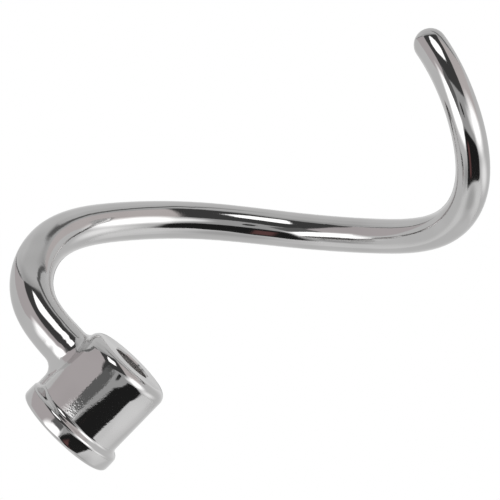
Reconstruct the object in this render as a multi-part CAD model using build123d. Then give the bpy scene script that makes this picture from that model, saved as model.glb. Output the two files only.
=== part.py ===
from build123d import *
from math import cos, radians, sin, tan
import os

# Dough hook of a stand mixer: one solid piece of polished stainless steel, in millimetres.
# The hub hangs on the mixer's shaft, so the shaft's axis is Z and the hook points down.
# The origin is the centre of the bore's mouth, on the hub's top face.
# X is the way the arm leaves the hub.

# Hub
HUB_DIAMETER = 29.8
HUB_LENGTH = 30.5
LIP_HEIGHT = 5.3
LIP_OVERHANG = 2.2
LIP_CROWN = 0.15
LIP_DROP = 0.6 * LIP_OVERHANG
LIP_TOP_ROUND = 1.3
LIP_UNDER_ROUND = 0.7 * LIP_OVERHANG
LIP_FILLET = 0.8 * LIP_OVERHANG
LIP_DIAMETER = HUB_DIAMETER + 2 * LIP_OVERHANG
END_ROUND = 3.2

# Shaft bore and the bayonet slot for the shaft's cross pin
BORE_DIAMETER = 13.0
BORE_CHAMFER = 0.5
SLOT_WIDTH = 5.6
SLOT_REACH = 11.2
SLOT_DEPTH = 20.0
TURN_HEIGHT = 5.8
TURN_ANGLE = 75.0
SEAT_RISE = 2.2

# Boss that thickens the wall outside the slot, from the lip down to the arm and as far out as the lip
BOSS_DIAMETER = 14.6
BOSS_OFFSET = (LIP_DIAMETER - BOSS_DIAMETER) / 2
BOSS_FILLET = 2.5

# Arm: a round bar that thins from its root to its tip
ROOT_DROP = 18.8
ROOT_LENGTH = 22.0
ROOT_DIAMETER = 14.3
ROOT_FILLET = 4.0
MIDDLE_DIAMETER = 11.85
TIP_DIAMETER = 10.4

# Spiral that the arm follows, about an upright line beside the hub, with its start and sweep in degrees
SPIRAL_RADIUS = 45.2
SPIRAL_X = 7.8
SPIRAL_Y = 20.7
SPIRAL_PITCH = 221.0
SPIRAL_DROP = 38.1
SPIRAL_START = -6.0
SPIRAL_SWEEP = 150.0
SPIRAL_STEPS = 5

# Elbow, from the root's end
ELBOW_REACH = 13.9
ELBOW_SIDE = 0.8
ELBOW_DROP = 1.6

# Foot and tip, from the spiral's own line and lower end
FOOT_X = -36.7
FOOT_Y = 7.0
FOOT_DROP = 17.6
TIP_X = -0.3
TIP_Y = -4.1
TIP_DROP = 37.8
TIP_HEADING = 10.0
TIP_DIP = 9.6

FROM_TOP = (Align.CENTER, Align.CENTER, Align.MAX)
FROM_BASE = (Align.CENTER, Align.CENTER, Align.MIN)
FROM_AXIS = (Align.MIN, Align.CENTER, Align.MAX)


def spiral_point(angle):
    """Point of the spiral at an angle in degrees from X, which drops evenly as it turns."""
    x = SPIRAL_X + SPIRAL_RADIUS * cos(radians(angle))
    y = SPIRAL_Y + SPIRAL_RADIUS * sin(radians(angle))
    return Vector(x, y, -SPIRAL_DROP - SPIRAL_PITCH * angle / 360)


def arm_diameter(t):
    """Even thinning through the root, middle and tip diameters, t running from 0 to 1."""
    root = ROOT_DIAMETER * (1 - t) * (1 - 2 * t)
    middle = MIDDLE_DIAMETER * 4 * t * (1 - t)
    return root + middle + TIP_DIAMETER * t * (2 * t - 1)


# Body of the hub with its rounded lower end
body = Cylinder(HUB_DIAMETER / 2, HUB_LENGTH, align=FROM_TOP)
body = fillet(body.edges().filter_by(GeomType.CIRCLE).sort_by(Axis.Z)[0], END_ROUND)

# Boss, blended into the body along its two upright corners
boss = Cylinder(BOSS_DIAMETER / 2, ROOT_DROP - LIP_HEIGHT / 2, align=FROM_BASE)
boss = Pos(BOSS_OFFSET, 0, -ROOT_DROP) * boss
hub = body + boss
hub = fillet(new_edges(body, boss, combined=hub).filter_by(Axis.Z), BOSS_FILLET)

# Root of the arm, straight out of the hub's side with a fillet all round
root = Cylinder(ROOT_DIAMETER / 2, ROOT_LENGTH, align=FROM_BASE)
root = Pos(0, 0, -ROOT_DROP) * Rot(0, 90, 0) * root
rooted = hub + root
rooted = fillet(new_edges(hub, root, combined=rooted), ROOT_FILLET)

# Lip round the top, turned with a crowned face and a sloping underside
lip_foot = -LIP_HEIGHT - LIP_DROP
lip_edge = LIP_DIAMETER / 2 - LIP_CROWN
lip_face = ThreePointArc((lip_edge, 0), (LIP_DIAMETER / 2, -LIP_HEIGHT / 2), (lip_edge, -LIP_HEIGHT))
lip_inside = Polyline(
    (lip_edge, -LIP_HEIGHT),
    (HUB_DIAMETER / 2, lip_foot),
    (HUB_DIAMETER / 2, lip_foot - 2 * LIP_FILLET),
    (0, lip_foot - 2 * LIP_FILLET),
    (0, 0),
    (lip_edge, 0),
)
profile = make_face(lip_face + lip_inside)
profile = fillet(profile.vertices().sort_by_distance((lip_edge, 0))[0], LIP_TOP_ROUND)
profile = fillet(profile.vertices().sort_by_distance((lip_edge, -LIP_HEIGHT))[0], LIP_UNDER_ROUND)
profile = fillet(profile.vertices().sort_by_distance((HUB_DIAMETER / 2, lip_foot))[0], LIP_FILLET)
collar = revolve(Plane.XZ * profile, Axis.Z)

# Line of the arm: root, elbow, spiral, foot and tip
turns = range(SPIRAL_STEPS + 1)
spiral = [spiral_point(SPIRAL_START + SPIRAL_SWEEP * i / SPIRAL_STEPS) for i in turns]
root_end = Vector(ROOT_LENGTH, 0, -ROOT_DROP)
elbow = root_end + Vector(ELBOW_REACH, ELBOW_SIDE, -ELBOW_DROP)
spiral_foot = Vector(SPIRAL_X, SPIRAL_Y, spiral[-1].Z)
foot = spiral_foot + Vector(FOOT_X, FOOT_Y, -FOOT_DROP)
tip = spiral_foot + Vector(TIP_X, TIP_Y, -TIP_DROP)
heading = radians(TIP_HEADING)
tip_way = Vector(cos(heading), sin(heading), -tan(radians(TIP_DIP)))
stations = [root_end, elbow, *spiral, foot, tip]
arm_line = Spline(stations, tangents=[(1, 0, 0), tip_way], tangent_scalars=[1, 1])

# Arm swept through round sections, with a domed tip
sections = []
for t in (0, 0.25, 0.5, 0.75, 1):
    sections.append(Plane(arm_line @ t, z_dir=arm_line % t) * Circle(arm_diameter(t) / 2))
arm = sweep(sections=sections, path=arm_line, multisection=True)
dome = Sphere(TIP_DIAMETER / 2, arc_size1=0, align=FROM_BASE)
dome = Plane(arm_line @ 1, z_dir=arm_line % 1) * dome

# Bore with broken edges, cut right through the hub
bore = Cylinder(BORE_DIAMETER / 2, HUB_LENGTH, align=FROM_TOP)
wide = BORE_DIAMETER / 2 + BORE_CHAMFER
mouth = Cone(BORE_DIAMETER / 2, wide, BORE_CHAMFER, align=FROM_TOP)
outlet = Pos(0, 0, -HUB_LENGTH) * Cone(wide, BORE_DIAMETER / 2, BORE_CHAMFER, align=FROM_BASE)

# Bayonet: the pin comes down the slot, turns below the wall and rises into its seat
slot = Box(SLOT_REACH, SLOT_WIDTH, SLOT_DEPTH, align=FROM_AXIS)
turn = Cylinder(SLOT_REACH, TURN_HEIGHT, arc_size=TURN_ANGLE, align=(Align.NONE, Align.NONE, Align.MIN))
turn = Pos(0, 0, -SLOT_DEPTH) * Rot(0, 0, -TURN_ANGLE) * turn
seat = Box(SLOT_REACH, SLOT_WIDTH, TURN_HEIGHT + SEAT_RISE, align=(Align.MIN, Align.CENTER, Align.MIN))
seat = Pos(0, 0, -SLOT_DEPTH) * Rot(0, 0, -TURN_ANGLE) * seat

# One piece of metal
hook = rooted + collar + arm + dome
hook = hook - bore - mouth - outlet - slot - turn - seat

os.makedirs("parts", exist_ok=True)
export_step(hook.solid(), "parts/dough_hook.step")
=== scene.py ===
from math import cos, radians, sin, sqrt

import bpy
import numpy as np
from mathutils import Matrix, Vector
from mathutils.kdtree import KDTree


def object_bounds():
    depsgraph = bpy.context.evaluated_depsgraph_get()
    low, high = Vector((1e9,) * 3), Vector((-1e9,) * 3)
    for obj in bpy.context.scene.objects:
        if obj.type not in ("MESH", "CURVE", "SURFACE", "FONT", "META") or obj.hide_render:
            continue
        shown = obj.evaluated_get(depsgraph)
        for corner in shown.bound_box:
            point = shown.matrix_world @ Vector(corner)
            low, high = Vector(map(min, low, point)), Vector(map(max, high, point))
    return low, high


# Camera: its place in metres and degrees in the part's frame, and its lens
AIM = Vector((-0.0001, 0.0061, -0.0803))
VIEW_TURN = 17.0
VIEW_LIFT = -4.9
VIEW_ROLL = 135.85
VIEW_DISTANCE = 0.740
IMAGE_PIXELS = 500
FOCAL_PIXELS = 2400
SENSOR_MM = 36.0
CLIP_START = 0.01

# Shading: how many neighbours a vertex looks at, when they count as one surface, and a profile as straight
NEIGHBOURS = 24
MIN_ALIKE = 8
CREASE_ANGLE = 35.0
TURNED_LIMIT = 1e-5

# Fit of a curved patch: what counts as upright, the least spread, and the weights' falloff and damping
UPRIGHT = 0.9
SMALLEST_SPREAD = 1e-6
FALLOFF = 0.3
DAMPING = 1e-3

# Wear at the hub's levels, in metres: where on Z it runs, and its height
BARREL_LOW = -0.0275
BARREL_HIGH = -0.0075
BARREL_RISE = 0.00016
SHOULDER_LOW = -0.0305
SHOULDER_HIGH = -0.0235
SHOULDER_RISE = 0.0005
LIP_LOW = -0.0055
LIP_HIGH = 0.0
LIP_FALL = 0.0003

# Polishing marks, in metres: size and height of waves, grain and lumps, and the range of their noise
SWELL_SIZE = 0.011
SWELL_RISE = 0.00010
GRAIN_SIZE = 0.0006
GRAIN_RISE = 0.000002
GRAIN_DETAIL = 2.0
GRAIN_PATCH = 0.012
LUMP_SIZE = 0.004
LUMP_RISE = 0.00010
NOISE_LOW = 0.3
NOISE_HIGH = 0.7

# Where the grain is coarser and the lumps are: middles and distances in metres, and the grain's strength
HUB_MIDDLE = (0.0, 0.0, -0.017)
HUB_INNER = 0.022
HUB_OUTER = 0.030
HUB_GRAIN = 3.6
SCUFF_MIDDLE = (-0.001, -0.015, -0.015)
SCUFF_INNER = 0.004
SCUFF_OUTER = 0.012
SCUFF_GRAIN = 2.6
ROOT_MIDDLE = (0.017, -0.007, -0.019)
ROOT_INNER = 0.002
ROOT_OUTER = 0.010

# Clean and smudged steel, with the smudges' size in metres
SMUDGE_SIZE = 0.009
CLEAN_ROUGH = 0.045
SMUDGED_ROUGH = 0.085
CLEAN_STEEL = (0.733, 0.728, 0.726, 1)
SMUDGED_STEEL = (0.700, 0.695, 0.692, 1)

# Machined walls of bore and slot: their reach from the axis and their levels in metres, and their finish
HUB_FOOT = -0.0306
BORE_REACH = 0.00655
BORE_LOW = -0.0293
SLOT_REACH = 0.0113
SLOT_LOW = -0.0202
SLOT_HIGH = -0.0003
WALL_ROUGH = 0.5
WALL_STEEL = (0.72, 0.70, 0.69, 1)

# Studio, in metres
CARD_DISTANCE = 1.1
LAYER_GAP = 0.02
CARD_STEPS = 16
SQUARE = 16.0
ROUND = 2.0
IN_FRONT = 1
BEHIND = -1
TENT_GREY = 0.60
FLOOR_GREY = 0.93
FLOOR_DROP = 0.12
FLOOR_SIZE = 2.4

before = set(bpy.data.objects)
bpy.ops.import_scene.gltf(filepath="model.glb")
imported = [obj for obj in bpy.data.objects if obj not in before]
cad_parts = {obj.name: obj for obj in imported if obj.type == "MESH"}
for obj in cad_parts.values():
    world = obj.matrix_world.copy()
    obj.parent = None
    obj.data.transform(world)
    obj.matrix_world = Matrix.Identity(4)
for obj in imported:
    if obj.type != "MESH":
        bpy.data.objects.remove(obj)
cad_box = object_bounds()
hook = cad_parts["dough_hook"]


def camera_axes():
    """Matrix whose columns are the camera's right, up and backward directions."""
    turn, lift, roll = radians(VIEW_TURN), radians(VIEW_LIFT), radians(VIEW_ROLL)
    look = Vector((sin(turn) * cos(lift), cos(turn) * cos(lift), -sin(lift)))
    level = look.cross(Vector((0, 0, 1))).normalized()
    up = level.cross(look) * cos(roll) + level * sin(roll)
    return Matrix((up.cross(-look), up, -look)).transposed()


AXES = camera_axes()


def link(obj):
    bpy.context.scene.collection.objects.link(obj)
    return obj


def grey(level):
    return level, level, level


# Shader nodes
def node_material(name):
    """A new material with its node tree emptied, the tree and its output node."""
    material = bpy.data.materials.new(name)
    material.use_nodes = True
    material.node_tree.nodes.clear()
    return material, material.node_tree, material.node_tree.nodes.new("ShaderNodeOutputMaterial")


def add_node(tree, kind, settings=None, **inputs):
    """A node with its settings, and its inputs set to values or linked to other nodes' outputs.

    An input is given by its name, or by an underscore and its number.
    """
    node = tree.nodes.new(kind)
    for key, value in (settings or {}).items():
        setattr(node, key, value)
    for key, value in inputs.items():
        socket = node.inputs[int(key[1:])] if key[1:].isdigit() else node.inputs[key.replace("_", " ")]
        if isinstance(value, bpy.types.NodeSocket):
            tree.links.new(value, socket)
        else:
            socket.default_value = value
    return node


def maths(tree, operation, first, second):
    return add_node(tree, "ShaderNodeMath", {"operation": operation}, _0=first, _1=second).outputs[0]


def total(tree, first, *others):
    for other in others:
        first = maths(tree, "ADD", first, other)
    return first


def product(tree, first, *others):
    for other in others:
        first = maths(tree, "MULTIPLY", first, other)
    return first


def ramp(tree, value, start, end, low, high, kind="LINEAR"):
    """A value that goes from low to high while another goes from start to end."""
    settings = {"interpolation_type": kind}
    span = {"From_Min": start, "From_Max": end, "To_Min": low, "To_Max": high}
    return add_node(tree, "ShaderNodeMapRange", settings, Value=value, **span).outputs[0]


# Camera
def make_camera():
    data = bpy.data.cameras.new("camera")
    data.sensor_width = SENSOR_MM
    data.lens = SENSOR_MM * FOCAL_PIXELS / IMAGE_PIXELS
    data.clip_start = CLIP_START
    camera = link(bpy.data.objects.new("camera", data))
    camera.matrix_world = AXES.to_4x4()
    camera.location = AIM + AXES @ Vector((0, 0, VIEW_DISTANCE))
    bpy.context.scene.camera = camera


# Light cards
def card_direction(x, y, side):
    """Way to what a mirror ball shows at x to the right and y up, in ball radii, or to its match behind."""
    z = sqrt(1 - x * x - y * y)
    return AXES @ Vector((2 * z * x, 2 * z * y, side * (2 * z * z - 1)))


def card_material(name, glow, soft, bulge):
    """A glow that fades out towards the card's edges over the share soft of its half size."""
    material, tree, output = node_material(name)
    uv = add_node(tree, "ShaderNodeUVMap", {"uv_map": "edge"}).outputs[0]
    squared = add_node(tree, "ShaderNodeVectorMath", {"operation": "MULTIPLY"}, _0=uv, _1=uv)
    parts = add_node(tree, "ShaderNodeSeparateXYZ", Vector=squared.outputs[0])
    across = maths(tree, "POWER", parts.outputs["X"], bulge / 2)
    along = maths(tree, "POWER", parts.outputs["Y"], bulge / 2)
    reach = maths(tree, "POWER", total(tree, across, along), 1 / bulge)
    fade = ramp(tree, reach, 1.0, 1.0 - soft, 0.0, 1.0, "SMOOTHSTEP")
    clear = add_node(tree, "ShaderNodeBsdfTransparent").outputs[0]
    light = add_node(tree, "ShaderNodeEmission", Color=(*glow, 1), Strength=1).outputs[0]
    mixed = add_node(tree, "ShaderNodeMixShader", _0=fade, _1=clear, _2=light)
    tree.links.new(mixed.outputs[0], output.inputs["Surface"])
    return material


def card_mesh(name, corners, distance, side):
    """A sheet that curves about the part, with a map of -1 to 1 from edge to edge both ways."""
    low_left, low_right, high_right, high_left = [Vector(corner) for corner in corners]
    points, places, faces = [], [], []
    for j in range(CARD_STEPS + 1):
        for i in range(CARD_STEPS + 1):
            u, v = i / CARD_STEPS, j / CARD_STEPS
            spot = low_left.lerp(low_right, u).lerp(high_left.lerp(high_right, u), v)
            places.append((2 * u - 1, 2 * v - 1))
            points.append(AIM + card_direction(*spot, side) * distance)
    for j in range(CARD_STEPS):
        for i in range(CARD_STEPS):
            first = j * (CARD_STEPS + 1) + i
            faces.append((first, first + 1, first + CARD_STEPS + 2, first + CARD_STEPS + 1))
    mesh = bpy.data.meshes.new(name)
    mesh.from_pydata(points, [], faces)
    edge = mesh.uv_layers.new(name="edge")
    for loop in mesh.loops:
        edge.data[loop.index].uv = places[loop.vertex_index]
    return mesh


def make_card(name, corners, glow, soft=0.1, layer=0, bulge=SQUARE, side=IN_FRONT):
    """A card that only reflections see, placed by where a mirror ball would show its corners.

    The corners run from the lower left one to the right. Higher layers lie in front of lower ones.
    The bulge is 2 for a round card and more for a squarer one.
    """
    mesh = card_mesh(name, corners, CARD_DISTANCE - LAYER_GAP * layer, side)
    mesh.materials.append(card_material(name, glow, soft, bulge))
    card = link(bpy.data.objects.new(name, mesh))
    card.visible_camera = False
    card.visible_diffuse = False
    card.visible_shadow = False


def box(left, right, low, high):
    return (left, low), (right, low), (right, high), (left, high)


def make_tent():
    """Pale cloth above, below and to the right, with its softer shades."""
    tent_top = (-0.50, 0.46), (0.80, 0.46), (0.52, 0.85), (-0.50, 0.86)
    make_card("tent_top", tent_top, grey(0.54), soft=0.4, bulge=4.0)
    make_card("top_shade", box(-0.72, 0.70, 0.45, 0.69), grey(0.37), soft=0.9, layer=0.5, bulge=4.0)
    make_card("tent_floor", box(-0.60, 0.60, -0.78, -0.40), grey(0.72), soft=0.3)
    tent_right = (0.38, -0.54), (0.80, -0.54), (0.92, -0.04), (0.46, -0.04)
    make_card("tent_right", tent_right, grey(1.05), soft=0.9, layer=1, bulge=ROUND)
    make_card("floor_right", box(0.24, 0.64, -0.74, -0.40), grey(0.78), soft=0.7, layer=2, bulge=ROUND)
    make_card("left_shade", box(-0.58, -0.20, -0.56, -0.32), grey(0.38), soft=0.9, layer=1, bulge=ROUND)
    make_card("floor_shade", box(-0.34, 0.36, -0.84, -0.44), grey(0.46), soft=0.8, layer=3, bulge=ROUND)


def make_walls():
    """Lilac walls to the left and right, and the dark seams above them."""
    lilac = 0.49, 0.455, 0.46
    pale_lilac = 0.56, 0.52, 0.515
    left_wall = (-0.62, 0.00), (-0.22, 0.00), (-0.26, 0.53), (-0.80, 0.50)
    make_card("left_wall", left_wall, lilac, soft=0.08, layer=1)
    right_wall = (0.28, 0.10), (0.68, 0.12), (0.72, 0.52), (0.28, 0.60)
    make_card("right_wall", right_wall, pale_lilac, soft=0.08, layer=1)
    left_seam = (-0.84, 0.485), (-0.36, 0.51), (-0.36, 0.56), (-0.83, 0.535)
    make_card("left_seam", left_seam, grey(0.14), soft=0.6, layer=2)
    right_seam = (0.02, 0.775), (0.72, 0.47), (0.73, 0.515), (0.04, 0.825)
    make_card("right_seam", right_seam, grey(0.12), soft=0.6, layer=2)


def make_front():
    """What stands about the lens: the tent's slit, softboxes, a window in its dark frame, and cloths."""
    slit = (-0.22, -0.16), (0.38, -0.22), (0.38, 0.20), (-0.26, 0.12)
    make_card("slit", slit, grey(0.39), layer=2)
    make_card("slit_glow", box(0.12, 0.44, -0.12, 0.14), grey(0.95), soft=0.9, layer=3, bulge=ROUND)
    left_softbox = (-0.66, -0.25), (-0.24, -0.36), (-0.12, -0.05), (-0.48, 0.17)
    make_card("left_softbox", left_softbox, grey(1.7), soft=0.5, layer=3, bulge=5.0)
    dark_frame = (-0.28, 0.09), (0.34, 0.15), (0.305, 0.65), (-0.39, 0.54)
    make_card("dark_frame", dark_frame, grey(0.055), layer=4)
    frame_leg = (-0.37, 0.055), (-0.19, -0.13), (-0.08, 0.05), (-0.24, 0.215)
    make_card("frame_leg", frame_leg, grey(0.13), soft=0.2, layer=4.5)
    window = (-0.18, 0.335), (0.12, 0.34), (0.17, 0.49), (-0.09, 0.56)
    make_card("window", window, grey(1.6), soft=0.2, layer=5, bulge=5.0)
    black_cloth = (-0.37, -0.58), (0.45, -0.45), (0.42, -0.16), (-0.23, -0.12)
    make_card("black_cloth", black_cloth, grey(0.015), soft=0.15, layer=5, bulge=6.0)
    dull_red = 0.125, 0.060, 0.058
    make_card("red_cloth", box(-0.175, -0.05, -0.50, -0.21), dull_red, soft=0.5, layer=6)
    make_card("right_softbox", box(0.24, 0.74, -0.24, 0.29), grey(1.65), soft=0.75, layer=6, bulge=ROUND)
    make_card("lens", box(-0.05, 0.05, -0.05, 0.05), grey(0.02), soft=0.3, layer=7, bulge=ROUND)


def make_backdrop():
    """Pale cloth behind the part, with a darker middle."""
    backdrop = box(-0.40, 0.40, -0.40, 0.40)
    make_card("backdrop", backdrop, grey(0.82), soft=1.0, layer=1, bulge=ROUND, side=BEHIND)
    backdrop_gap = box(-0.14, 0.14, -0.14, 0.14)
    make_card("backdrop_gap", backdrop_gap, grey(0.30), soft=1.0, layer=2, bulge=ROUND, side=BEHIND)


# World
def make_world():
    """White all round, which reflections see as the tent's grey."""
    world = bpy.data.worlds.new("studio")
    world.use_nodes = True
    tree = world.node_tree
    tree.nodes.clear()
    output = tree.nodes.new("ShaderNodeOutputWorld")
    mirrored = tree.nodes.new("ShaderNodeLightPath").outputs["Is Glossy Ray"]
    white = add_node(tree, "ShaderNodeBackground", Color=(1, 1, 1, 1), Strength=1).outputs[0]
    tent = add_node(tree, "ShaderNodeBackground", Color=(*grey(TENT_GREY), 1), Strength=1).outputs[0]
    mixed = add_node(tree, "ShaderNodeMixShader", _0=mirrored, _1=white, _2=tent)
    tree.links.new(mixed.outputs[0], output.inputs["Surface"])
    bpy.context.scene.world = world
    bpy.context.scene.view_settings.view_transform = "Standard"


# Floor
def make_floor():
    height = cad_box[0].z - FLOOR_DROP
    half = FLOOR_SIZE / 2
    corners = [(x, y, height) for x, y in box(-half, half, -half, half)]
    mesh = bpy.data.meshes.new("floor")
    mesh.from_pydata(corners, [], [(0, 1, 2, 3)])
    material, tree, output = node_material("floor")
    shader = add_node(tree, "ShaderNodeBsdfDiffuse", Color=(*grey(FLOOR_GREY), 1))
    tree.links.new(shader.outputs[0], output.inputs["Surface"])
    mesh.materials.append(material)
    floor = link(bpy.data.objects.new("floor", mesh))
    floor.visible_glossy = False


# Smooth shading
def unit(vectors):
    return vectors / np.linalg.norm(vectors, axis=-1, keepdims=True)


def patch_labels(count, facets):
    """A number per vertex that is shared by all vertices of one connected patch."""
    labels = np.arange(count)
    while True:
        lower = labels.copy()
        for corner in facets.T:
            np.minimum.at(lower, corner, labels[facets].min(axis=1))
        lower = lower[lower]
        if np.array_equal(lower, labels):
            return labels
        labels = lower


def turned_normals(points):
    """Normals of a patch as if turned on a lathe about Z, from the line or arc that its profile follows."""
    reach = np.linalg.norm(points[:, :2], axis=1, keepdims=True)
    profile = np.hstack([reach, points[:, 2:]])
    middle = profile.mean(axis=0)
    across = np.linalg.svd(profile - middle, full_matrices=False)[2][1]
    lean = np.tile(across, (len(points), 1))
    if np.ptp(profile @ across) > TURNED_LIMIT:
        terms = np.hstack([2 * profile, np.ones_like(reach)])
        centre = np.linalg.lstsq(terms, (profile**2).sum(axis=1), rcond=None)[0][:2]
        lean = unit(profile - centre)
    return np.hstack([points[:, :2] / reach * lean[:, :1], lean[:, 1:]])


def nearest_vertices(points):
    """Indices of the vertices nearest to each vertex, itself included."""
    tree = KDTree(len(points))
    for index, point in enumerate(points):
        tree.insert(point, index)
    tree.balance()
    return np.array([[hit[1] for hit in tree.find_n(point, NEIGHBOURS)] for point in points])


def fitted_normals(points, normals):
    """Normals of the curved patch that fits each vertex and its neighbours that face nearly the same way."""
    near = nearest_vertices(points)
    offsets = points[near] - points[:, None]
    alike = np.einsum("nki,ni->nk", normals[near], normals) > cos(radians(CREASE_ANGLE))
    upright = np.abs(normals[:, 2:]) > UPRIGHT
    side = unit(np.cross(np.where(upright, (1.0, 0.0, 0.0), (0.0, 0.0, 1.0)), normals))
    ahead = np.cross(normals, side)
    gaps = np.linalg.norm(offsets, axis=2)
    spread = ((gaps * alike).sum(axis=1) / alike.sum(axis=1)).clip(min=SMALLEST_SPREAD)[:, None]
    x = np.einsum("nki,ni->nk", offsets, side) / spread
    y = np.einsum("nki,ni->nk", offsets, ahead) / spread
    height = np.einsum("nki,ni->nk", offsets, normals) / spread
    terms = np.stack([x * x, x * y, y * y, x, y], axis=2)
    weight = alike / (FALLOFF + (gaps / spread) ** 2) ** 2
    matrix = np.einsum("nki,nkj,nk->nij", terms, terms, weight) + np.eye(5) * DAMPING
    target = np.einsum("nki,nk,nk->ni", terms, height, weight)
    slopes = np.linalg.solve(matrix, target[:, :, None])[:, 3:, 0]
    fitted = unit(normals - slopes[:, :1] * side - slopes[:, 1:] * ahead)
    return np.where(alike.sum(axis=1)[:, None] < MIN_ALIKE, normals, fitted)


def even_normals(points, facets):
    """Exact normals for turned patches and fitted ones for the others."""
    first, second, third = points[facets].swapaxes(0, 1)
    facing = np.zeros_like(points)
    np.add.at(facing, facets, np.cross(second - first, third - first)[:, None])
    facing = unit(facing)
    normals = fitted_normals(points, facing)
    labels = patch_labels(len(points), facets)
    for label in np.unique(labels):
        patch = labels == label
        turned = turned_normals(points[patch])
        match = (turned * facing[patch]).sum(axis=1)
        if np.abs(match).min() > cos(radians(CREASE_ANGLE)) and np.ptp(np.sign(match)) == 0:
            normals[patch] = turned * np.sign(match)[:, None]
    return normals


def smooth_shading(part):
    """Gives the part even normals by a modifier, so that its own mesh stays as it is."""
    mesh = part.data.copy()
    points = np.empty((len(mesh.vertices), 3))
    mesh.vertices.foreach_get("co", points.ravel())
    facets = np.empty((len(mesh.polygons), 3), dtype=int)
    mesh.polygons.foreach_get("vertices", facets.ravel())
    mesh.normals_split_custom_set_from_vertices(even_normals(points, facets))
    guide = link(bpy.data.objects.new("normal_guide", mesh))
    guide.hide_render = True
    guide.hide_viewport = True
    transfer = part.modifiers.new("smooth_normals", "DATA_TRANSFER")
    transfer.object = guide
    transfer.use_loop_data = True
    transfer.data_types_loops = {"CUSTOM_NORMAL"}
    transfer.loop_mapping = "TOPOLOGY"


# Polished steel
def patchy(tree, place, size, low, high, detail=0.0):
    """A soft pattern of patches of a size in metres, as a value between low and high."""
    noise = add_node(tree, "ShaderNodeTexNoise", Vector=place, Scale=1 / size, Detail=detail)
    return ramp(tree, noise.outputs["Fac"], NOISE_LOW, NOISE_HIGH, low, high)


def near_point(tree, place, centre, inner, outer, near, far):
    """A value that changes from near to far between two distances from a point."""
    gap = add_node(tree, "ShaderNodeVectorMath", {"operation": "DISTANCE"}, _0=place, _1=centre)
    return ramp(tree, gap.outputs["Value"], inner, outer, near, far, "SMOOTHSTEP")


def mixed_colour(tree, share, first, second):
    """A mix of two colours, which are the node's inputs 6 and 7 and its output 2."""
    mix = add_node(tree, "ShaderNodeMix", {"data_type": "RGBA"}, Factor=share, _6=first, _7=second)
    return mix.outputs[2]


def hub_wear(tree, z):
    """Height left by polishing at the hub's levels: a slight barrel, a soft shoulder and a falling lip."""
    level = ramp(tree, z, BARREL_LOW, BARREL_HIGH, -1.0, 1.0)
    barrel = product(tree, level, level, -BARREL_RISE)
    shoulder = ramp(tree, z, SHOULDER_LOW, SHOULDER_HIGH, 0.0, SHOULDER_RISE, "SMOOTHSTEP")
    lip = ramp(tree, z, LIP_LOW, LIP_HIGH, 0.0, -LIP_FALL)
    return total(tree, barrel, shoulder, lip)


def polish_marks(tree, place):
    """Height of the waves all over, of a grain that is coarser on the hub, and of lumps at the arm's root."""
    swell = patchy(tree, place, SWELL_SIZE, 0.0, SWELL_RISE)
    grain = patchy(tree, place, GRAIN_SIZE, 0.0, GRAIN_RISE, GRAIN_DETAIL)
    patches = patchy(tree, place, GRAIN_PATCH, 0.0, 1.0, GRAIN_DETAIL)
    on_hub = near_point(tree, place, HUB_MIDDLE, HUB_INNER, HUB_OUTER, HUB_GRAIN, 1.0)
    on_scuff = near_point(tree, place, SCUFF_MIDDLE, SCUFF_INNER, SCUFF_OUTER, SCUFF_GRAIN, 1.0)
    lumps = patchy(tree, place, LUMP_SIZE, 0.0, LUMP_RISE)
    at_root = near_point(tree, place, ROOT_MIDDLE, ROOT_INNER, ROOT_OUTER, 1.0, 0.0)
    return total(tree, swell, product(tree, grain, patches, on_hub, on_scuff), product(tree, lumps, at_root))


def surface_height(tree, place, reach, z):
    """Height of wear and polishing marks, which are everywhere but in the bore."""
    marks = total(tree, hub_wear(tree, z), polish_marks(tree, place))
    beyond_bore = maths(tree, "GREATER_THAN", reach, BORE_REACH)
    below_hub = maths(tree, "LESS_THAN", z, HUB_FOOT)
    return product(tree, marks, maths(tree, "MAXIMUM", beyond_bore, below_hub))


def inside_walls(tree, reach, z):
    """1 on the machined walls of bore and slot, and 0 on all that was polished."""
    above_outlet = maths(tree, "GREATER_THAN", z, BORE_LOW)
    bore = product(tree, maths(tree, "LESS_THAN", reach, BORE_REACH), above_outlet)
    above_foot = maths(tree, "GREATER_THAN", z, SLOT_LOW)
    below_mouth = maths(tree, "LESS_THAN", z, SLOT_HIGH)
    slot = product(tree, maths(tree, "LESS_THAN", reach, SLOT_REACH), above_foot, below_mouth)
    return maths(tree, "MAXIMUM", bore, slot)


def polished_steel():
    """Mirror finish, a little wavy from hand polishing, with a fine grain in places and dull inner walls."""
    material, tree, output = node_material("polished_steel")
    place = tree.nodes.new("ShaderNodeTexCoord").outputs["Object"]
    parts = add_node(tree, "ShaderNodeSeparateXYZ", Vector=place)
    z = parts.outputs["Z"]
    flat = add_node(tree, "ShaderNodeCombineXYZ", X=parts.outputs["X"], Y=parts.outputs["Y"])
    length = add_node(tree, "ShaderNodeVectorMath", {"operation": "LENGTH"}, _0=flat.outputs[0])
    reach = length.outputs["Value"]
    walls = inside_walls(tree, reach, z)
    height = surface_height(tree, place, reach, z)
    bump = add_node(tree, "ShaderNodeBump", Strength=1.0, Distance=1.0, Height=height)
    rough = patchy(tree, place, SMUDGE_SIZE, CLEAN_ROUGH, SMUDGED_ROUGH)
    smudges = patchy(tree, place, SMUDGE_SIZE, 0.0, 1.0)
    tint = mixed_colour(tree, smudges, CLEAN_STEEL, SMUDGED_STEEL)
    shader = add_node(
        tree,
        "ShaderNodeBsdfPrincipled",
        Base_Color=mixed_colour(tree, walls, tint, WALL_STEEL),
        Metallic=1.0,
        Roughness=total(tree, rough, product(tree, walls, WALL_ROUGH)),
        Normal=bump.outputs[0],
    )
    tree.links.new(shader.outputs[0], output.inputs["Surface"])
    return material


smooth_shading(hook)
hook.material_slots[0].material = polished_steel()
make_camera()
make_tent()
make_walls()
make_front()
make_backdrop()
make_world()
make_floor()
